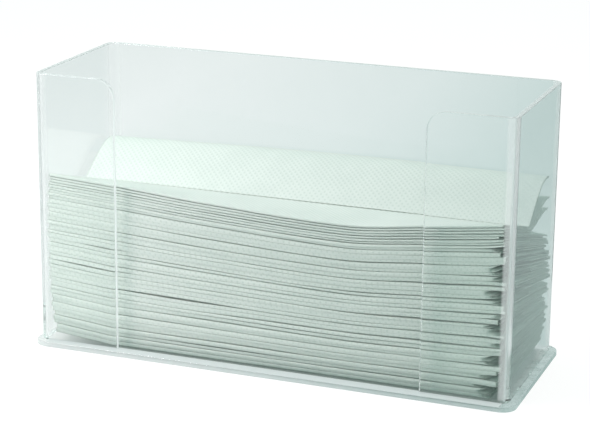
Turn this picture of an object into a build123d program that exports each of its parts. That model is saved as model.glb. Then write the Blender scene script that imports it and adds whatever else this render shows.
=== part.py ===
"""Countertop dispenser for folded paper towels.

A clear acrylic sleeve, bent from one sheet, stands on a clear base plate. It is
open at the top, and its front is two narrow wings with a wide gap between them.
Inside lies a sagging stack of C-folded towels. The last halves of the top three
are pushed up against the back wall.

Millimetres, +Z up. The front faces -Y, and the origin is the middle of the base
plate's underside.
"""

import os
from math import cos, pi, sin

from build123d import *

# Acrylic sleeve
sheet_t = 3.0  # acrylic sheet of the sleeve
sleeve_w = 288.0  # outside, along X
sleeve_d = 101.6  # outside, along Y
sleeve_h = 162.0  # from the base plate to the rim
bend_r = 6.0  # outside radius of the heat bends
wing_w = 50.8  # front wing, from the sleeve's side to the gap
wing_corner_r = 11.0  # top corner of each wing, next to the gap
polish_r = 0.5  # flame-polished edges

# Base plate
plate_t = 3.0
plate_w = 295.0
plate_d = 108.6
plate_corner_r = 8.5
sleeve_x = -1.0  # the sleeve is glued a little off the plate's middle
sleeve_y = 0.9

# Stack of towels
towel_count = 40
paper_t = 0.35  # one embossed layer
front_room = 3.0  # from the wings' inner face to the folds
back_room = 1.6
side_room = 0.8  # from the side walls to the longest towels
seat = 0.1  # between the plate and the lowest towel
layer_gap = 0.2  # between one towel and the next
panel_gap = 1.2  # between the two free edges of one towel
stack_h = 102.0  # over the front folds, at the two ends
sag_h = 10.8  # how much lower the front folds are where they sag most
middle_h = 88.0  # over the free edges, level all along
curl_h = 4.0  # how far the lowest towels' left ends stand up
tight_count = 9  # towels at the top that are pressed flatter
tight_share = 0.62
uneven = 0.22  # how much the towels' heights differ
stagger = 1.6  # how far the towels' ends stand in and out
top_in = 2.4  # how far the top towels' ends stay back from the middle ones'
low_in = 4.2  # and the lowest ones'
fold_steps = 3  # flats round the outside of one fold

# Rear halves of the top towels, pushed up: height over the plate at the back wall
raised_tops = (88.5, 96.0, 109.0)
raised_from = 2.0  # behind the free edges
arch_steps = 4

# How far along the stack each knot of the sag is, and its share of the sag
sag_knots = ((0.0, 0.0), (0.15, 0.24), (0.35, 0.64), (0.66, 1.0), (0.83, 0.55), (1.0, 0.0))

# Worked out
gap_w = sleeve_w - 2 * wing_w
inner_left = sleeve_x - sleeve_w / 2 + sheet_t
inner_right = sleeve_x + sleeve_w / 2 - sheet_t
inner_front = sleeve_y - sleeve_d / 2 + sheet_t
inner_back = sleeve_y + sleeve_d / 2 - sheet_t
stack_left = inner_left + side_room
stack_right = inner_right - side_room
stack_front = inner_front + front_room
stack_back = inner_back - back_room
stack_middle = (stack_front + stack_back) / 2


def along(u):
    """X of a place this far along the stack, from 0 to 1."""
    return stack_left + u * (stack_right - stack_left)


def shares():
    """Each towel's share of the stack's height, from the lowest up."""
    weights = []
    for i in range(towel_count):
        tight = i >= towel_count - tight_count
        weight = tight_share if tight else 1 + uneven * sin(2.4 * i)
        weights.append(weight)
    return [weight / sum(weights) for weight in weights]


def between(x, values):
    """Value at x of a line that is straight between the knots of the sag."""
    u = (x - stack_left) / (stack_right - stack_left)
    ends = [knot[0] for knot in sag_knots]
    for u0, u1, v0, v1 in zip(ends, ends[1:], values, values[1:]):
        if u <= u1 or u1 == 1.0:
            return v0 + (v1 - v0) * (u - u0) / (u1 - u0)


def level(share, x, y):
    """Height at which this share of the stack lies below, at x and y."""
    floor = plate_t + seat + between(x, [curl_h] + [0.0] * (len(sag_knots) - 1))
    ridge = plate_t + between(x, [stack_h - sag_h * knot[1] for knot in sag_knots])
    slope = (plate_t + middle_h - ridge) / (stack_middle - stack_front)
    return floor + share * (ridge + slope * (y - stack_front) - floor)


def arch(y):
    """Rise of a rear half, from its free edge to the back wall, from 0 to 1."""
    start = stack_middle + raised_from
    u = max(0.0, (y - start) / (stack_back - start))
    return u * (2 - u)


def fold(y_mid, z_low, z_high, reach, steps):
    """Points round a fold, from its lower side to its upper one."""
    points = []
    for k in range(steps + 1):
        turn = pi * k / steps
        z = (z_low + z_high) / 2 - (z_high - z_low) / 2 * cos(turn)
        points.append((y_mid + reach * sin(turn), z))
    return points


def towel_outline(low, high, raised, x, front, back):
    """Section of one C-folded sheet at x: two free edges in the middle of its top."""

    def lower(y):
        thick = level(high, x, y) - level(low, x, y) - layer_gap
        return upper(y) - thick

    def upper(y):
        flat = level(high, x, y) - layer_gap / 2
        return flat + (plate_t + raised - flat) * arch(y) if raised else flat

    reach_f = (upper(front) - lower(front)) / 2
    reach_b = (upper(back) - lower(back)) / 2
    y_f = front + reach_f
    y_b = back - reach_b
    edge_f = stack_middle - panel_gap / 2
    edge_b = stack_middle + panel_gap / 2
    rear = [edge_b]
    if raised:
        start = stack_middle + raised_from
        rear += [start + (y_b - start) * k / arch_steps for k in range(arch_steps)]
    base = [stack_middle] + rear[1:]

    outside = fold(y_f, lower(y_f), upper(y_f), -reach_f, fold_steps)[::-1]
    outside += [(y, lower(y)) for y in base]
    outside += fold(y_b, lower(y_b), upper(y_b), reach_b, fold_steps)
    outside += [(y, upper(y)) for y in rear[::-1]]
    inside = [(y, upper(y) - paper_t) for y in rear]
    inside += fold(y_b, lower(y_b) + paper_t, upper(y_b) - paper_t, reach_b - paper_t, 2)[::-1]
    inside += [(y, lower(y) + paper_t) for y in base[::-1]]
    inside += fold(y_f, lower(y_f) + paper_t, upper(y_f) - paper_t, paper_t - reach_f, 2)
    inside += [(edge_f, upper(edge_f) - paper_t)]
    return outside + inside + [(edge_f, upper(edge_f))]


def skin(sections):
    """Solid of flat triangles through sections that have equally many points."""
    faces = [Face(Wire.make_polygon(section)) for section in (sections[0], sections[-1])]
    for near, far in zip(sections, sections[1:]):
        for k in range(len(near)):
            a, b, c, d = near[k - 1], near[k], far[k], far[k - 1]
            halves = [(a, b, c), (a, c, d)] if b.Y > a.Y else [(a, b, d), (b, c, d)]
            faces += [Face(Wire.make_polygon(corners)) for corners in halves]
    return Solid(Shell(faces))


# Sleeve: one sheet, bent at four corners, with its two ends as the front wings
os.makedirs("parts", exist_ok=True)

with BuildPart() as sleeve:
    with BuildSketch(Plane.XY.offset(plate_t)):
        with Locations((sleeve_x, sleeve_y)):
            RectangleRounded(sleeve_w, sleeve_d, bend_r)
            RectangleRounded(sleeve_w - 2 * sheet_t, sleeve_d - 2 * sheet_t, bend_r - sheet_t, mode=Mode.SUBTRACT)
    extrude(amount=sleeve_h)
    with BuildSketch(Plane.XY.offset(plate_t)):
        with Locations((sleeve_x, inner_front - sheet_t / 2)):
            Rectangle(gap_w, 2 * sheet_t)
    extrude(amount=sleeve_h, mode=Mode.SUBTRACT)
    wing_corners = sleeve.edges().filter_by(Axis.Y).filter_by(lambda edge: abs(edge.length - sheet_t) < 0.01)
    fillet(wing_corners.group_by(Axis.Z)[-1], wing_corner_r)
    rim = sleeve.faces().sort_by(Axis.Z)[-1]
    fillet(rim.edges(), polish_r)
sleeve.part.label = "sleeve"
export_step(sleeve.part, "parts/sleeve.step")


# Base plate: flat, under the whole sleeve and a little wider
with BuildPart() as base_plate:
    with BuildSketch():
        RectangleRounded(plate_w, plate_d, plate_corner_r)
    extrude(amount=plate_t)
    fillet(base_plate.edges().group_by(Axis.Z)[-1], polish_r)
base_plate.part.label = "base_plate"
export_step(base_plate.part, "parts/base_plate.step")


# Towels, from the lowest up: one folded section, carried from knot to knot of the sag
below = 0.0
for i, share in enumerate(shares()):
    rank = i - (towel_count - len(raised_tops))
    raised = raised_tops[rank] if rank >= 0 else 0.0
    side = 2 * i / (towel_count - 1) - 1
    held_in = (top_in if side > 0 else low_in) * side * side
    left = stack_left + held_in + stagger * (0.5 + 0.5 * sin(1.9 * i))
    right = stack_right - held_in - stagger * (0.5 + 0.5 * cos(2.7 * i))
    front = stack_front + 0.3 * stagger * (0.5 + 0.5 * sin(3.7 * i))
    sections = []
    for x in [left] + [along(u) for u, _ in sag_knots[1:-1]] + [right]:
        outline = towel_outline(below, below + share, raised, x, front, stack_back)
        sections.append([Vector(x, y, z) for y, z in outline])
    with BuildPart() as towel:
        add(skin(sections))
    name = f"towel_{i + 1:02d}"
    towel.part.label = name
    export_step(towel.part, f"parts/{name}.step")
    below += share
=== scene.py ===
"""Looks of the paper towel dispenser: clear acrylic round a sagging stack of embossed towels.

Metres, +Z up, in the part's own frame. The sleeve and the base plate keep their solids. Each
towel's plain solid is replaced by an embossed sheet, folded in the same place.
"""

from math import cos, pi, radians, sin

import bpy
import numpy as np
from mathutils import Matrix, Vector


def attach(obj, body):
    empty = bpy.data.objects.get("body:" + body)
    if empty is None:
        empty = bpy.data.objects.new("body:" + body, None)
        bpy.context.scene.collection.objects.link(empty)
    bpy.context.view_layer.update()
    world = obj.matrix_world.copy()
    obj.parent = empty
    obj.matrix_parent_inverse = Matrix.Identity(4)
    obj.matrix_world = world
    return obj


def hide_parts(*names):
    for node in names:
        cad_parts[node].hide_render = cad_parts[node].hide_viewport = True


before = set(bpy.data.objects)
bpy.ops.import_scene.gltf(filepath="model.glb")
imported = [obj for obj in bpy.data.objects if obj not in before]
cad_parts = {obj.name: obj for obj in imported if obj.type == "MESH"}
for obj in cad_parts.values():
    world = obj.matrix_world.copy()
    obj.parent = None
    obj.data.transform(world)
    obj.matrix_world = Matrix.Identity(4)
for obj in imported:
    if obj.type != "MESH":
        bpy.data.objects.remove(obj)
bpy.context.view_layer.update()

mm = 0.001

# Camera, fitted to the box's edges in the photograph: angles in degrees, lens in millimetres
eye = (0.39416, -1.04790, 0.40903)
azimuth = 20.68
elevation = 16.24
roll = 0.56
lens = 121.5
far_clip = 20.0

# The acrylic's sizes, as in the part's source
sheet_t = 3.0 * mm
plate_t = 3.0 * mm
sleeve_w, sleeve_d, sleeve_h = 288.0 * mm, 101.6 * mm, 162.0 * mm
sleeve_x, sleeve_y = -1.0 * mm, 0.9 * mm
bend_r = 6.0 * mm
polish_r = 0.5 * mm

# The stack's sizes, as in the part's source
towel_count = 40
paper_t = 0.35 * mm
front_room, back_room, side_room = 3.0 * mm, 1.6 * mm, 0.8 * mm
seat = 0.1 * mm
layer_gap = 0.2 * mm
panel_gap = 1.2 * mm
stack_h = 102.0 * mm
sag_h = 10.8 * mm
middle_h = 88.0 * mm
curl_h = 4.0 * mm
tight_count = 9
tight_share = 0.62
uneven = 0.22
stagger = 1.6 * mm
top_in, low_in = 2.4 * mm, 4.2 * mm
raised_tops = (88.5 * mm, 96.0 * mm, 109.0 * mm)
raised_from = 2.0 * mm
sag_knots = ((0.0, 0.0), (0.15, 0.24), (0.35, 0.64), (0.66, 1.0), (0.83, 0.55), (1.0, 0.0))

# Worked out
rim_z = plate_t + sleeve_h
inner_side = sleeve_w / 2 - sheet_t
inner_front = sleeve_y - sleeve_d / 2 + sheet_t
stack_left = sleeve_x - sleeve_w / 2 + sheet_t + side_room
stack_right = sleeve_x + sleeve_w / 2 - sheet_t - side_room
stack_front = sleeve_y - sleeve_d / 2 + sheet_t + front_room
stack_back = sleeve_y + sleeve_d / 2 - sheet_t - back_room
stack_middle = (stack_front + stack_back) / 2

# How clouded the acrylic's cut edges, bends and glued seam are
edge_frost = 0.6
rim_frost = 0.35
plate_frost = 0.3
post_frost = 0.08
seam_frost = 0.3

# Painted glow: emission on the cut edges, rim, bends and plate edge, standing in for light that the sheet
# pipes to its cut edges
painted_edge_glow = 0.4
painted_rim_glow = 0.08
painted_post_glow = 0.22
painted_plate_glow = 0.3
painted_glow_strength = 0.9
lit_left, lit_right = -100.0 * mm, 140.0 * mm  # the plate's edge glows from the right to the left

# Marks on the acrylic
hair = 0.05 * mm  # how close to a face a mark on it starts
smudge_size, scratch_size, glue_size = 35.0 * mm, 4.0 * mm, 6.0 * mm
scratch_depth = 0.01 * mm

# Colours of the acrylic
acrylic_tint, smudge_tint = (0.995, 0.999, 0.998), (0.985, 0.992, 0.99)
shadow_tint, edge_shadow_tint = (0.965, 0.985, 0.975), (0.45, 0.52, 0.52)
frost_tint, painted_glow_tint = (0.88, 0.97, 0.96), (0.95, 1.0, 1.0)

# Colours of the paper
paper_tint, cloudy_tint, shaded_tint = (0.865, 0.90, 0.87), (0.83, 0.87, 0.84), (0.74, 0.79, 0.76)
# Painted shade in the embossing's pits, and the fibres' own tone
pit_shade_tint, fibre_tint = (0.60, 0.67, 0.63), (0.70, 0.74, 0.71)
# Painted shade along the sheet's free edges and in the creases between the folds
edge_shade_tint, crease_shade_tint = (0.50, 0.53, 0.48), (0.17, 0.19, 0.17)
# Strength of the painted shade in the pits and along the edges, and of the fibres' own tone
pit_shade_dark, edge_shade_dark, fibre_dark = 0.35, 0.55, 0.10
fibre_size, cloud_size = 0.5 * mm, 22.0 * mm
fibre_depth = 0.08 * mm

# Embossing
emboss_across = 3.45 * mm  # pitch along X; the next row is half a pitch along
emboss_down = 3.7 * mm
emboss_depth = 0.16 * mm
emboss_tilt = 0.035  # how far the rows run off the fold, at most

# Contact lines between the towels, counted from the lowest towel's underside, and their creases
deep_lines = (0, 2, 4, 7, 9, 11, 13, 16, 18, 20, 21, 24, 26, 28, 31, 33, 34, 35, 36, 37, 38, 39, 40)
deep_crease = 0.7
shallow_crease = 0.13
tightest, loosest = 0.4, 1.35  # how loosely the towels lie at the left end and at the right one
wander_waves = ((0.043, 2.3, 0.6), (0.017, 5.3, 0.4))  # length, how much later a line starts, share
ripple_waves = ((0.067, 2.9, 0.7), (0.031, 1.7, 0.5), (0.013, 4.1, 0.2))
ripple_h = 0.2 * mm
level_lines = 6  # the ripple is whole from this many lines off the bottom and the top
band_bulge = 0.55 * mm  # how far a band of folds stands out between two deep creases
edge_lift = 0.25 * mm  # free edge of a raised rear half
lift_reach = 4.0 * mm
fold_relief = 0.25  # how much of the embossing's depth is left on a fold
# How strong the painted shade in the pits is on the folds: 1 is as on the flat
fold_pit_shade, tight_pit_shade = 0.95, 0.15  # how dark its pits are there: 1 is as on the flat
smooth_below = 14  # the folds of the lowest towels are worn smoother
crisp_above = 35  # and those of the top ones are pressed flat
ragged = 3.0 * mm  # how much further the towels' right ends stand back
shade_share, top_shade = 0.5, 0.3  # how much the towels' greys differ, and how much of it the top one has

# How finely the towels are divided
columns, top_columns = 330, 400
panel_rows, top_panel_rows, raised_rows = 2, 74, 8
fold_rows, back_rows, base_rows = 8, 4, 8
sharp_from = 55  # degrees

# Painted shade: dark lines in the creases between the folds and in the pushed-in corners
deep_line, shallow_line = 0.24 * mm, 0.04 * mm
tight_line, top_line, seat_line = 0.22 * mm, 0.50 * mm, 0.7 * mm
crease_shade_dark, hollow_shade_dark = 0.5, 0.85
far_off = 20.0  # a row that has no crease near it
dent_reach = 6.0 * mm  # how far along a corner's push takes to reach its depth
dent_slant = 5.0 * mm  # how much later it starts at the fold's two sides
dent_shade_depth = 7.0 * mm  # the depth at which it is darkest

# Places where two towels stand apart: line, middle along X, reach along X, opening, in mm
partings = (
    (32, 141, 9, 2.0), (27, 141, 8, 2.0), (25, 141, 7, 1.8), (21, 141, 9, 2.4), (17, 141, 11, 1.4),
    (15, 141, 8, 2.0), (8, 141, 10, 2.2), (4, 141, 11, 3.0), (2, 141, 9, 2.0),
    (39, -50, 90, 0.35), (13, -52, 34, 0.9), (3, -35, 46, 1.1), (22, -104, 12, 0.8),
    (17, -112, 20, 0.8), (10, 20, 60, 0.5),
)
parting_share = 0.75  # how much of an opening passes on from one line to the next

# Fold corners that are pushed in at the right end: towel, start along X mm, depth mm
pushed_in = (
    (31, 131, 5), (27, 130, 8), (26, 131, 5), (25, 132, 8), (22, 128, 9), (21, 130, 6), (20, 132, 8),
    (17, 133, 5), (15, 128, 8), (14, 130, 5), (11, 132, 5), (8, 128, 9), (7, 129, 7), (4, 126, 8),
    (2, 123, 8), (1, 126, 10), (0, 128, 6),
)

# How far the top sheet bends over again before the back wall: share of its rise, left and right
bends_over = (0.21, 0.09)

# Floor: its tones through the acrylic from far left to far right, darkest right of the middle as painted
# shade, a painted pool of light in front, a painted shadow under the stack
floor_size = 6.0
floor_span = 3.0
floor_tones = (
    (0.0, (0.99, 1.0, 1.0)), (0.38, (0.94, 0.99, 0.99)), (0.45, (0.79, 0.875, 0.87)),
    (0.5, (0.59, 0.72, 0.71)), (0.6, (0.43, 0.55, 0.54)), (0.75, (0.55, 0.65, 0.64)),
    (1.0, (0.95, 0.97, 0.97)),
)
front_light_tint, under_shadow_tint = (0.93, 0.97, 0.96), (0.10, 0.13, 0.12)
front_light_share, under_shadow_share = 0.85, 0.95
front_depth, front_across = (50 * mm, -40 * mm), (140 * mm, -160 * mm)  # where it starts and is whole
under_half_w, under_half_d, under_left = (143 * mm, 137 * mm), (50 * mm, 45 * mm), (-150 * mm, -100 * mm)
floor_tint = (0.9, 0.9, 0.9)
floor_white = 1.16
matt_seen, matt_through = 0.2, 0.25  # share of the floor's true shading, and of it through the acrylic

# Surroundings: colour and strength
room_light = ((0.61, 0.98, 0.86), 0.29)
room_mirrored = ((0.95, 0.98, 0.98), 0.95)
room_seen = ((1.0, 1.0, 1.0), 1.0)

# Lamps: name, place, size, watts, colour
lamps = (
    ("near", (-0.40, -0.30, 0.30), 0.25, 1.36, (1.0, 0.94, 0.96)),
    ("high", (-0.55, -0.20, 0.80), 0.4, 2.8, (1.0, 0.96, 0.97)),
    ("top", (-0.10, 0.35, 1.10), 0.8, 4.0, (0.97, 1.0, 1.0)),
)
lamp_aim = (0.0, 0.0, 0.06)
light_bounces = 40  # enough to get through the acrylic's edges


# Nodes

def full(colour):
    """A colour with its alpha."""
    return (*colour, 1.0)


class Wire:
    """A socket with arithmetic: an expression on wires adds its Math nodes."""

    def __init__(self, tree, socket):
        self.tree, self.socket = tree, socket

    def maths(self, operation, *values):
        values = dict(enumerate(values))
        return self.tree.node("ShaderNodeMath", {"operation": operation}, values)

    def __add__(self, other):
        return self.maths("ADD", self, other)

    def __radd__(self, other):
        return self.maths("ADD", other, self)

    def __sub__(self, other):
        return self.maths("SUBTRACT", self, other)

    def __rsub__(self, other):
        return self.maths("SUBTRACT", other, self)

    def __mul__(self, other):
        return self.maths("MULTIPLY", self, other)

    def __rmul__(self, other):
        return self.maths("MULTIPLY", other, self)

    def __truediv__(self, other):
        return self.maths("DIVIDE", self, other)

    def __rtruediv__(self, other):
        return self.maths("DIVIDE", other, self)

    def cosine(self):
        return self.maths("COSINE", self)

    def size(self):
        return self.maths("ABSOLUTE", self)

    def at_least(self, other):
        return self.maths("MAXIMUM", self, other)

    def rise(self, low, high):
        """0 below low, 1 above high, smooth between."""
        values = {"Value": self, "From Min": low, "From Max": high}
        return self.tree.node("ShaderNodeMapRange", {"interpolation_type": "SMOOTHSTEP"}, values)


class Tree:
    """A node tree that is built by one method."""

    def __init__(self, nodes):
        self.nodes = nodes
        self.nodes.nodes.clear()

    def node(self, kind, settings=None, values=None, out=0):
        node = self.nodes.nodes.new(kind)
        for name, value in (settings or {}).items():
            if name == "stops":
                for place, colour in value[1:-1]:
                    node.color_ramp.elements.new(place)
                for stop, (place, colour) in zip(node.color_ramp.elements, value):
                    stop.position, stop.color = place, full(colour)
            else:
                setattr(node, name, value)
        for name, value in (values or {}).items():
            if isinstance(value, Wire):
                self.nodes.links.new(value.socket, node.inputs[name])
            else:
                node.inputs[name].default_value = value
        return Wire(self, node.outputs[out]) if len(node.outputs) else node


class Finish(Tree):
    """A material."""

    def __init__(self, name):
        self.material = bpy.data.materials.new(name)
        self.material.use_nodes = True
        super().__init__(self.material.node_tree)

    def noise(self, size, detail=2.0, rough=0.5):
        values = {"Scale": 1.0 / size, "Detail": detail, "Roughness": rough, "Vector": self.place()}
        return self.node("ShaderNodeTexNoise", {}, values)

    def place(self):
        return self.node("ShaderNodeTexCoord", out="Object")

    def facing(self):
        return self.node("ShaderNodeTexCoord", out="Normal")

    def parts(self, vector):
        split = self.node("ShaderNodeSeparateXYZ", {}, {"Vector": vector})
        return [Wire(self, socket) for socket in split.socket.node.outputs]

    def blend(self, share, first, second):
        first, second = (full(tone) if isinstance(tone, tuple) else tone for tone in (first, second))
        values = {"Factor": share, 6: first, 7: second}
        return self.node("ShaderNodeMix", {"data_type": "RGBA"}, values, out=2)

    def mix(self, share, first, second):
        return self.node("ShaderNodeMixShader", {}, {0: share, 1: first, 2: second})

    def plain(self, kind, tone):
        return self.node(kind, {}, {"Color": full(tone)})

    def carried(self, name, what="Fac"):
        """A value that the mesh carries in one of its attributes."""
        return self.node("ShaderNodeAttribute", {"attribute_name": name}, {}, out=what)

    def bump(self, height, depth, strength=1.0):
        values = {"Height": height, "Distance": depth, "Strength": strength}
        return self.node("ShaderNodeBump", {}, values)

    def ray(self, kind):
        return self.node("ShaderNodeLightPath", out=kind)

    def wear(self, surface):
        self.node("ShaderNodeOutputMaterial", {}, {"Surface": surface})
        return self.material


def embossed_lattice(tree, sheet):
    """Height of the embossing on the flat sheet, from -1 to 1, by the sheet's own coordinates."""
    split = tree.node("ShaderNodeSeparateXYZ", {}, {"Vector": sheet})
    across = Wire(tree, split.socket.node.outputs[0]) * (2 * pi / emboss_across)
    down = Wire(tree, split.socket.node.outputs[1]) * (2 * pi / emboss_down)
    return across.cosine() * down.cosine()


# Materials

def clear_acrylic():
    finish = Finish("clear_acrylic")
    smudge = finish.noise(smudge_size, 3.0, 0.6)
    scratches = finish.noise(scratch_size)
    across, depth, height = (part.size() for part in finish.parts(finish.place()))
    across = (across - sleeve_x).size()
    _, front, up = (part.size() for part in finish.parts(finish.facing()))

    # Where the cut edges, bends and the glued seam are
    wing = depth.rise(-inner_front - hair, -inner_front + hair)
    wing_edge = wing * across.rise(inner_side, inner_side - 1 * mm) * front.rise(0.6, 0.4)
    rim = up.rise(0.3, 0.6) * height.rise(rim_z - polish_r - 2 * hair, rim_z - polish_r)
    plate_edge = height.rise(plate_t - hair, plate_t - 2 * hair) * up.rise(0.7, 0.5)
    bend_x = across.rise(sleeve_w / 2 - bend_r, sleeve_w / 2 - bend_r + 1 * mm)
    bend_y = depth.rise(sleeve_d / 2 - bend_r, sleeve_d / 2 - bend_r + 1 * mm)
    post = bend_x * bend_y * height.rise(plate_t + 1 * mm, plate_t + 3 * mm)
    side_wall = across.rise(inner_side, inner_side + 0.2 * mm)
    wall = side_wall.at_least(depth.rise(sleeve_d / 2 - sheet_t - sleeve_y, sleeve_d / 2 - sheet_t))
    off_plate = (height - plate_t).size()
    glue = finish.noise(glue_size, 3.0, 0.6).rise(0.38, 0.62)
    seam = wall * up.rise(0.6, 0.8) * off_plate.rise(2 * hair, hair) * glue

    clouded = (wing_edge * edge_frost).at_least(rim * rim_frost).at_least(plate_edge * plate_frost)
    clouded = clouded.at_least(post * post_frost).at_least(seam * seam_frost)
    # Painted glow on the wing edges, rim, bends and the plate's edge, fading from right to left along the
    # plate
    lit_side = finish.parts(finish.place())[0].rise(lit_right, lit_left)
    painted_glow_share = (wing_edge * painted_edge_glow).at_least(rim * painted_rim_glow).at_least(plate_edge * lit_side * painted_plate_glow)
    painted_glow_share = painted_glow_share.at_least(post * painted_post_glow)

    glass = finish.node("ShaderNodeBsdfPrincipled", {}, {
        "Base Color": finish.blend(smudge.rise(0.3, 0.75), acrylic_tint, smudge_tint),
        "Roughness": smudge.rise(0.45, 0.8) * 0.012,
        "IOR": 1.49,
        "Transmission Weight": 1.0,
        "Normal": finish.bump(scratches, scratch_depth, 0.15),
    })
    frost = finish.plain("ShaderNodeBsdfTranslucent", frost_tint)
    white = finish.plain("ShaderNodeBsdfDiffuse", frost_tint)
    # Emission that paints the glow
    glow = finish.node("ShaderNodeEmission", {}, {"Color": full(painted_glow_tint), "Strength": painted_glow_strength})
    glass = finish.mix(clouded, glass, finish.mix(0.5, frost, white))
    glass = finish.mix(painted_glow_share, glass, glow)
    clear = finish.plain("ShaderNodeBsdfTransparent", shadow_tint)
    dim = finish.plain("ShaderNodeBsdfTransparent", edge_shadow_tint)
    light = finish.ray("Is Shadow Ray").at_least(finish.ray("Is Diffuse Ray"))
    return finish.wear(finish.mix(light, glass, finish.mix(wing_edge, clear, dim)))


def towel_paper():
    finish = Finish("towel_paper")
    sheet = finish.carried("sheet", "Vector")
    fibres = finish.noise(fibre_size, 4.0, 0.65)
    cloudy = finish.noise(cloud_size, 3.0, 0.55)
    # Painted shade in the embossing's pits, as strong as the sheet's third coordinate says
    shown = finish.parts(sheet)[2]
    pits = embossed_lattice(finish, sheet).rise(-0.2, -0.75) * shown
    # Painted shade in the creases between the folds and in the pushed-in corners
    above, below, hollow = finish.parts(finish.carried("crease", "Vector"))
    dark = above.rise(1.0, 0.0).at_least(below.rise(1.0, 0.0)) * crease_shade_dark
    dark = dark.at_least(hollow * hollow_shade_dark)
    tone = finish.blend(cloudy.rise(0.3, 0.7), paper_tint, cloudy_tint)
    tone = finish.blend(finish.carried("shade"), tone, shaded_tint)
    tone = finish.blend(pits * pit_shade_dark, tone, pit_shade_tint)
    # Painted shade along the free edges and ends, and on the layer under the gap between the two halves
    tone = finish.blend(finish.carried("edge") * edge_shade_dark, tone, edge_shade_tint)
    tone = finish.blend(dark, tone, crease_shade_tint)
    paper = finish.node("ShaderNodeBsdfPrincipled", {}, {
        "Base Color": finish.blend(fibres.rise(0.35, 0.75) * fibre_dark, tone, fibre_tint),
        "Roughness": 0.93,
        "Specular IOR Level": 0.25,
        "Normal": finish.bump(fibres, fibre_depth, 0.6),
    })
    return finish.wear(paper)


# Embossing of a folded sheet

def embossing_tree():
    """Moves each point out by the embossing, as far as its sheet and relief attributes say."""
    group = bpy.data.node_groups.new("embossing", "GeometryNodeTree")
    group.interface.new_socket("Geometry", in_out="INPUT", socket_type="NodeSocketGeometry")
    group.interface.new_socket("Depth", in_out="INPUT", socket_type="NodeSocketFloat")
    group.interface.new_socket("Material", in_out="INPUT", socket_type="NodeSocketMaterial")
    group.interface.new_socket("Geometry", in_out="OUTPUT", socket_type="NodeSocketGeometry")
    tree = Tree(group)
    given = group.nodes.new("NodeGroupInput")
    geometry, depth, material = (Wire(tree, socket) for socket in given.outputs[:3])
    sheet = tree.node("GeometryNodeInputNamedAttribute", {"data_type": "FLOAT_VECTOR"}, {"Name": "sheet"})
    relief = tree.node("GeometryNodeInputNamedAttribute", {"data_type": "FLOAT"}, {"Name": "relief"})
    height = embossed_lattice(tree, sheet) * relief * depth
    normal = tree.node("GeometryNodeInputNormal")
    values = {0: normal, "Scale": height}
    offset = tree.node("ShaderNodeVectorMath", {"operation": "SCALE"}, values)
    moved = tree.node("GeometryNodeSetPosition", {}, {"Geometry": geometry, "Offset": offset})
    real = tree.node("GeometryNodeRealizeInstances", {}, {"Geometry": moved})
    named = tree.node("GeometryNodeSetMaterial", {}, {"Geometry": real, "Material": material})
    tree.node("NodeGroupOutput", {}, {0: named})
    return group


def emboss(piece, group, paper, depth):
    """Runs the embossing on a piece and keeps the result as its plain mesh."""
    modifier = piece.modifiers.new("embossing", "NODES")
    modifier.node_group = group
    named = {item.name: item.identifier for item in group.interface.items_tree if item.in_out == "INPUT"}
    modifier[named["Depth"]] = depth
    modifier[named["Material"]] = paper
    graph = bpy.context.evaluated_depsgraph_get()
    mesh = bpy.data.meshes.new_from_object(piece.evaluated_get(graph), depsgraph=graph)
    piece.modifiers.remove(modifier)
    piece.data = mesh
    mesh.name = piece.name


# Stack of towels

def smooth_sag(u):
    """Share of the sag at u along the stack, on a smooth curve through the knots."""
    ends = np.array([knot[0] for knot in sag_knots])
    values = np.array([knot[1] for knot in sag_knots])
    steps, rises = np.diff(ends), np.diff(values)
    slopes = rises / steps
    turns = np.zeros(len(ends))
    for k in range(1, len(ends) - 1):
        if slopes[k - 1] * slopes[k] > 0:
            turns[k] = 2 / (1 / slopes[k - 1] + 1 / slopes[k])
    turns[0], turns[-1] = slopes[0], slopes[-1]
    k = np.clip(np.searchsorted(ends, u, side="right") - 1, 0, len(steps) - 1)
    t = (u - ends[k]) / steps[k]
    first = (2 * t ** 3 - 3 * t ** 2 + 1) * values[k] + (t ** 3 - 2 * t ** 2 + t) * steps[k] * turns[k]
    return first + (3 * t ** 2 - 2 * t ** 3) * values[k + 1] + (t ** 3 - t ** 2) * steps[k] * turns[k + 1]


def shares():
    """Each towel's share of the stack's height, from the lowest up."""
    weights = []
    for i in range(towel_count):
        tight = i >= towel_count - tight_count
        weights.append(tight_share if tight else 1 + uneven * sin(2.4 * i))
    return [weight / sum(weights) for weight in weights]


def along(x):
    """Place along the stack: 0 at its left end and 1 at its right one."""
    return (x - stack_left) / (stack_right - stack_left)


def waves(kinds, line, x):
    """Sum of waves along a contact line."""
    return sum(np.sin(x / length + later * line) * share for length, later, share in kinds)


def wander(line, x):
    """Slow change along a contact line, from -1 to 1."""
    return waves(wander_waves, line, x)


def looseness(x):
    """How loosely the towels lie on each other, tighter towards the left end."""
    return tightest + (loosest - tightest) * along(x)


def gap(line, x):
    """Space between the two towels at a contact line."""
    if line in deep_lines:
        return layer_gap * looseness(x) * (1.0 + 0.9 * wander(line, x))
    return layer_gap * (0.3 + 0.2 * wander(line, x))


def ripple(line, x, side):
    """Unevenness along a contact line, on its upper side (1) or its lower side (-1)."""
    height = waves(ripple_waves, line, x) * ripple_h + side * (gap(line, x) - layer_gap) / 2
    for where, middle, reach, opening in partings:
        apart = side if line == where else (1 if line > where else -1) * parting_share ** abs(line - where)
        height = height + apart * opening / 2 * mm * np.exp(-((x - middle * mm) / (reach * mm)) ** 2)
    ends = min(line, level_lines) / level_lines * min(towel_count - line, level_lines) / level_lines
    return height * ends


def softness(line, x):
    """How round the folds are beside a contact line: 1 is a deep crease."""
    if line in deep_lines:
        return deep_crease * looseness(x) * (1 + 0.35 * wander(line, x))
    return shallow_crease * (1 + 0.7 * wander(line, x))


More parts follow.
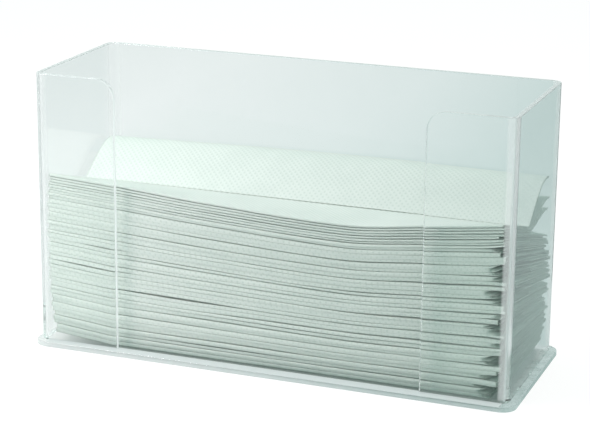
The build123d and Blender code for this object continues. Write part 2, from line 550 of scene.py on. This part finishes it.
def dent(i, x, off):
    """How far a towel's front fold is pushed in at the right end; off is 1 at the fold's two sides."""
    depth = 0.0 * x
    for towel, start, deep in pushed_in:
        if towel == i:
            t = np.clip((x - start * mm - dent_slant * (off - 0.4)) / dent_reach, 0, 1)
            depth = deep * mm * t * t * (3 - 2 * t)
    return depth


def crease_shade_width(line, x):
    """Width of the painted shade line in the crease at a contact line."""
    if line == 0:
        return seat_line + 0.0 * x
    if line == towel_count - 1:
        return top_line * (1.0 - 0.5 * along(x))
    if line > crisp_above:
        return tight_line * (1 + 0.4 * wander(line, x))
    if line > towel_count - tight_count:
        return tight_line * (0.25 + 0.9 * along(x)) * (1 + 0.4 * wander(line, x))
    if line in deep_lines:
        return deep_line * looseness(x) * (1 + 0.6 * wander(line, x))
    return shallow_line * (1 + 0.8 * wander(line, x))


def pit_shade_on_folds(i, x):
    """How dark the painted shade in the embossing's pits is on a towel's folds."""
    if i > crisp_above:
        return tight_pit_shade + 0.0 * x
    if i >= towel_count - tight_count:
        return fold_pit_shade + (tight_pit_shade - fold_pit_shade) * np.clip(1.5 * along(x), 0, 1)
    return fold_pit_shade * (0.35 + 0.65 * min(i / smooth_below, 1)) + 0.0 * x


def stand_out(i):
    """How far a towel's fold stands in front of the deep creases of its band."""
    below = max(line for line in deep_lines if line <= i)
    above = min(line for line in deep_lines if line > i)
    t = (i + 0.5 - below) / (above - below)
    return band_bulge * (1 - (2 * t - 1) ** 2) if above - below > 1 else 0.0


def level(share, x, y):
    """Height at which this share of the stack lies below, at x and y."""
    u = along(x)
    floor = plate_t + seat + curl_h * np.clip(1 - u / sag_knots[1][0], 0, 1)
    ridge = plate_t + stack_h - sag_h * smooth_sag(u)
    slope = (plate_t + middle_h - ridge) / (stack_middle - stack_front)
    return floor + share * (ridge + slope * (y - stack_front) - floor)


def arch(y, x):
    """Rise of a rear half, from its free edge to the back wall, from 0 to 1."""
    start = stack_middle + raised_from
    u = np.maximum(0.0, (y - start) / (stack_back - start))
    over = bends_over[1] + (bends_over[0] - bends_over[1]) * np.maximum(0.0, 1 - along(x)) ** 3
    return u * (2 - u) - over * u ** 4


def nose(y, low, high, reach, steps, soft_low, soft_high):
    """Rows round a fold from its upper side to its lower one, rounder where it is softer."""
    rows = []
    for k in range(steps + 1):
        turn = pi / 2 - pi * k / steps
        soft = soft_high if turn > 0 else soft_low
        out = abs(cos(turn)) ** soft
        up = abs(sin(turn)) ** soft * (1 if turn > 0 else -1)
        rows.append((y + reach * out, (low + high) / 2 + (high - low) / 2 * up))
    return rows


def point_row(y, z, shown=1.0, relief=1.0, edge=0.0, above=far_off, below=far_off, hollow=0.0):
    """One row of points along a towel, with what its surface shows there."""
    return {"y": y, "z": z, "shown": shown, "relief": relief, "edge": edge,
            "above": above, "below": below, "hollow": hollow}


def towel_rows(i, low, high, x, front, panels):
    """Outer rows of one towel's section from its front free edge round to its rear one."""
    rank = i - (towel_count - len(raised_tops))
    raised = raised_tops[rank] if rank >= 0 else 0.0

    def thickness(y):
        plain = level(high, x, y) - level(low, x, y) - layer_gap
        return np.maximum(plain + ripple(i + 1, x, -1) - ripple(i, x, 1), 3 * paper_t)

    def upper(y):
        flat = level(high, x, y) - layer_gap / 2 + ripple(i + 1, x, -1)
        return flat + (plate_t + raised - flat) * arch(y, x) if raised else flat

    def lower(y):
        return upper(y) - thickness(y)

    reach_f = thickness(front) / 2
    reach_b = thickness(stack_back) / 2
    y_f = front + reach_f
    y_b = stack_back - reach_b
    edge_f = stack_middle - panel_gap / 2
    edge_b = stack_middle + panel_gap / 2
    shown = pit_shade_on_folds(i, x)

    def fold(y_end, reach, steps, dented=False):
        floor, roof = lower(y_end), upper(y_end)
        around = nose(y_end, floor, roof, reach, steps, softness(i, x), softness(i + 1, x))
        folded = []
        for y, z in around:
            # How near the row lies to the creases, in widths of their painted shade lines
            above = (roof - z) / crease_shade_width(i + 1, x) if i < towel_count - 1 else far_off
            below = (z - floor) / crease_shade_width(i, x)
            off = np.abs(2 * (z - floor) / (roof - floor) - 1)
            pushed = dent(i, x, off) if dented else 0.0
            # Painted shade in a pushed-in corner, darker the further it is pushed in
            hollow = np.clip(pushed / dent_shade_depth, 0, 0.9)
            folded.append(point_row(y + pushed, z, shown, fold_relief, 0.0, above, below, hollow))
        return folded

    rows = []
    for k in range(panels):
        y = edge_f + (y_f + dent(i, x, 1.0) - edge_f) * k / panels
        rows.append(point_row(y, upper(y)))
    rows += fold(y_f, -reach_f, fold_rows, dented=True)
    base = [stack_middle - panel_gap, stack_middle + raised_from]
    base += [y_b + (base[1] - y_b) * k / base_rows for k in range(base_rows - 1, 0, -1)]
    for k, y in enumerate(base if raised else base[:1]):
        # The first two base rows, under the gap between the halves, carry painted shade
        rows.append(point_row(y, lower(y), 0.0, 0.0, 1.0 if k < 2 else 0.0))
    rows += fold(y_b, reach_b, back_rows)[::-1]
    rear_rows = max(panels, raised_rows) if raised else panels
    lift = edge_lift if rank >= 0 else 0.0
    for k in range(1, rear_rows + 1):
        y = y_b + (edge_b - y_b) * k / rear_rows
        rows.append(point_row(y, upper(y) + lift * np.exp((edge_b - y) / lift_reach)))
    return rows


def towel_mesh(name, x, rows, shift, shade):
    """Closed sheet of the paper's thickness along the rows, with its own flat coordinates."""
    count = len(rows)

    def of_rows(what):
        return np.array([np.broadcast_to(each[what], x.shape) for each in rows])

    def flattened(values):
        return values.reshape(-1, *values.shape[2:])

    def both_sides(values):
        return np.concatenate([flattened(values), flattened(values[kept])])

    y, z, shown = of_rows("y"), of_rows("z"), of_rows("shown")
    step_y, step_z = np.gradient(y, axis=0), np.gradient(z, axis=0)
    size = np.hypot(step_y, step_z) + 1e-9
    in_y, in_z = -step_z / size, step_y / size
    run = np.vstack([np.zeros(len(x)), np.cumsum(np.hypot(np.diff(y, axis=0), np.diff(z, axis=0)), axis=0)])
    across = np.broadcast_to(x, y.shape)
    outer = np.stack([across, y, z], axis=-1)
    inner = np.stack([across, y + in_y * paper_t, z + in_z * paper_t], axis=-1)
    kept = [k for k in range(count) if k % 3 == 0 or k == count - 1 or not shown[k].any()]
    inner = inner[kept]
    points = np.concatenate([outer.reshape(-1, 3), inner.reshape(-1, 3)])
    tilt = emboss_tilt * sin(5.0 * shift)
    down = run + tilt * across + shift * 0.6 * emboss_down
    # The third coordinate is the strength of the painted shade in the pits; the inner side has none
    flat = np.stack([across + shift * emboss_across, down, shown], axis=-1)
    flat_inner = flat[kept].copy()
    flat_inner[..., 2] = 0.0
    sheet = np.concatenate([flat.reshape(-1, 3), flat_inner.reshape(-1, 3)])

    # Painted shade on the first and last rows and at both ends
    edge = of_rows("edge")
    edge[:, [0, -1]] = edge[[0, -1]] = 1.0
    edge, relief = both_sides(edge), both_sides(of_rows("relief"))
    # The crease attribute carries the painted shade: distances to the creases above and below, and the
    # pushed-in corners' shade
    crease = both_sides(np.stack([of_rows("above"), of_rows("below"), of_rows("hollow")], axis=-1))

    across_count = len(x)
    base = count * across_count

    def quads(first, second):
        k = np.arange(across_count - 1)
        return np.stack([first + k, first + k + 1, second + k + 1, second + k], axis=-1)

    faces = []
    for k in range(count - 1):
        faces += quads(k * across_count, (k + 1) * across_count).tolist()
    for k in range(len(kept) - 1):
        faces += quads(base + (k + 1) * across_count, base + k * across_count).tolist()
    faces += quads(base, 0).tolist()
    faces += quads((count - 1) * across_count, base + (len(kept) - 1) * across_count).tolist()
    for k, (first, last) in enumerate(zip(kept, kept[1:])):
        for column, way in ((0, 1), (across_count - 1, -1)):
            outside = [r * across_count + column for r in range(first, last + 1)]
            inside = [base + (k + 1) * across_count + column, base + k * across_count + column]
            faces.append((outside + inside)[::way])
    mesh = bpy.data.meshes.new(name)
    mesh.from_pydata(points.tolist(), [], faces)
    for what, values in (("sheet", sheet), ("crease", crease)):
        attribute = mesh.attributes.new(what, "FLOAT_VECTOR", "POINT")
        attribute.data.foreach_set("vector", values.astype(np.float32).ravel())
    for what, values in (("edge", edge), ("relief", relief), ("shade", np.full(len(edge), shade))):
        attribute = mesh.attributes.new(what, "FLOAT", "POINT")
        attribute.data.foreach_set("value", values.astype(np.float32))
    mesh.polygons.foreach_set("use_smooth", np.ones(len(mesh.polygons), bool))
    mesh.set_sharp_from_angle(angle=radians(sharp_from))
    return mesh


def make_towels(paper):
    group = embossing_tree()
    below = 0.0
    for i, share in enumerate(shares()):
        name = f"towel_{i + 1:02d}"
        side = 2 * i / (towel_count - 1) - 1
        held_in = (top_in if side > 0 else low_in) * side * side
        left = stack_left + held_in + stagger * (0.5 + 0.5 * sin(1.9 * i))
        right = stack_right - held_in - stagger * (0.5 + 0.5 * cos(2.7 * i))
        right -= ragged * (0.5 + 0.5 * sin(1.3 * i)) * (0.5 + 0.5 * sin(0.37 * i + 2.0))
        front = stack_front + 0.3 * stagger * (0.5 + 0.5 * sin(3.7 * i)) - stand_out(i)
        on_top = i == towel_count - 1
        x = np.linspace(left, right, top_columns if on_top else columns)
        panels = top_panel_rows if on_top else panel_rows
        rows = towel_rows(i, below, below + share, x, front, panels)
        shade = shade_share * (0.5 + 0.5 * sin(2.9 * i)) * (top_shade if on_top else 1.0)
        mesh = towel_mesh(name, x, rows, 0.618 * i, shade)
        towel = bpy.data.objects.new(f"paper_{name}", mesh)
        bpy.context.scene.collection.objects.link(towel)
        emboss(towel, group, paper, emboss_depth)
        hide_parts(name)
        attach(towel, "root")
        below += share


# Acrylic

def dress_acrylic(acrylic):
    for name in ("sleeve", "base_plate"):
        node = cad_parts[name]
        node.data.materials.clear()
        node.data.materials.append(acrylic)


# Studio

def pale_floor():
    finish = Finish("pale_floor")
    across, depth, _ = finish.parts(finish.place())
    tone = finish.node("ShaderNodeValToRGB", {"stops": floor_tones}, {0: across / floor_span + 0.5})
    # Painted pool of light in front of the box, and painted shadow under the stack
    front = depth.rise(*front_depth) * across.rise(*front_across)
    tone = finish.blend(front * front_light_share, tone, front_light_tint)
    under = (across - sleeve_x).size().rise(*under_half_w) * across.rise(*under_left)
    under = under * (depth - stack_middle).size().rise(*under_half_d)
    tone = finish.blend(under * under_shadow_share, tone, under_shadow_tint)
    matt = finish.plain("ShaderNodeBsdfDiffuse", floor_tint)
    white = finish.node("ShaderNodeEmission", {}, {"Color": full((1.0, 1.0, 1.0)), "Strength": floor_white})
    through = finish.node("ShaderNodeEmission", {}, {"Color": tone, "Strength": 1.0})
    seen = finish.mix(matt_seen, white, matt)
    seen_through = finish.mix(matt_through, through, matt)
    clear = finish.ray("Is Transmission Ray").at_least(finish.ray("Is Glossy Ray"))
    other = finish.mix(clear, matt, seen_through)
    return finish.wear(finish.mix(finish.ray("Is Camera Ray"), other, seen))


def make_floor():
    mesh = bpy.data.meshes.new("floor")
    corners = [(x * floor_size, y * floor_size, 0) for x, y in ((-1, -1), (1, -1), (1, 1), (-1, 1))]
    mesh.from_pydata(corners, [], [(0, 1, 2, 3)])
    floor = bpy.data.objects.new("floor", mesh)
    mesh.materials.append(pale_floor())
    bpy.context.scene.collection.objects.link(floor)


def make_world():
    world = bpy.data.worlds.new("studio")
    bpy.context.scene.world = world
    world.use_nodes = True
    tree = Tree(world.node_tree)
    camera_ray = tree.node("ShaderNodeLightPath", out="Is Camera Ray")
    glossy = tree.node("ShaderNodeLightPath", out="Is Glossy Ray")
    glossy = glossy.at_least(tree.node("ShaderNodeLightPath", out="Is Transmission Ray"))
    lit, mirrored, white = (
        tree.node("ShaderNodeBackground", {}, {"Color": full(colour), "Strength": strength})
        for colour, strength in (room_light, room_mirrored, room_seen)
    )
    other = tree.node("ShaderNodeMixShader", {}, {0: glossy, 1: lit, 2: mirrored})
    seen = tree.node("ShaderNodeMixShader", {}, {0: camera_ray, 1: other, 2: white})
    tree.node("ShaderNodeOutputWorld", {}, {"Surface": seen})


def make_lamp(name, place, size, watts, colour):
    lamp = bpy.data.lights.new(name, "AREA")
    lamp.shape, lamp.size, lamp.energy, lamp.color = "DISK", size, watts, colour
    lit = bpy.data.objects.new(name, lamp)
    lit.location = place
    lit.rotation_euler = (Vector(lamp_aim) - Vector(place)).to_track_quat("-Z", "Y").to_euler()
    bpy.context.scene.collection.objects.link(lit)


def make_camera():
    a, e, r = radians(azimuth), radians(elevation), radians(roll)
    ahead = Vector((-sin(a) * cos(e), cos(a) * cos(e), -sin(e)))
    level_right = Vector((cos(a), sin(a), 0.0))
    level_up = level_right.cross(ahead)
    right = cos(r) * level_right + sin(r) * level_up
    up = cos(r) * level_up - sin(r) * level_right
    camera = bpy.data.objects.new("camera", bpy.data.cameras.new("camera"))
    camera.data.lens = lens
    turn = Matrix((right, up, -ahead)).transposed().to_4x4()
    camera.matrix_world = Matrix.Translation(eye) @ turn
    camera.data.clip_end = far_clip
    bpy.context.scene.collection.objects.link(camera)
    bpy.context.scene.camera = camera


dress_acrylic(clear_acrylic())
make_towels(towel_paper())
make_floor()
make_world()
for lamp in lamps:
    make_lamp(*lamp)
make_camera()
bpy.context.scene.view_settings.view_transform = "Standard"
for kind in ("max_bounces", "transmission_bounces", "glossy_bounces"):
    setattr(bpy.context.scene.cycles, kind, light_bounces)
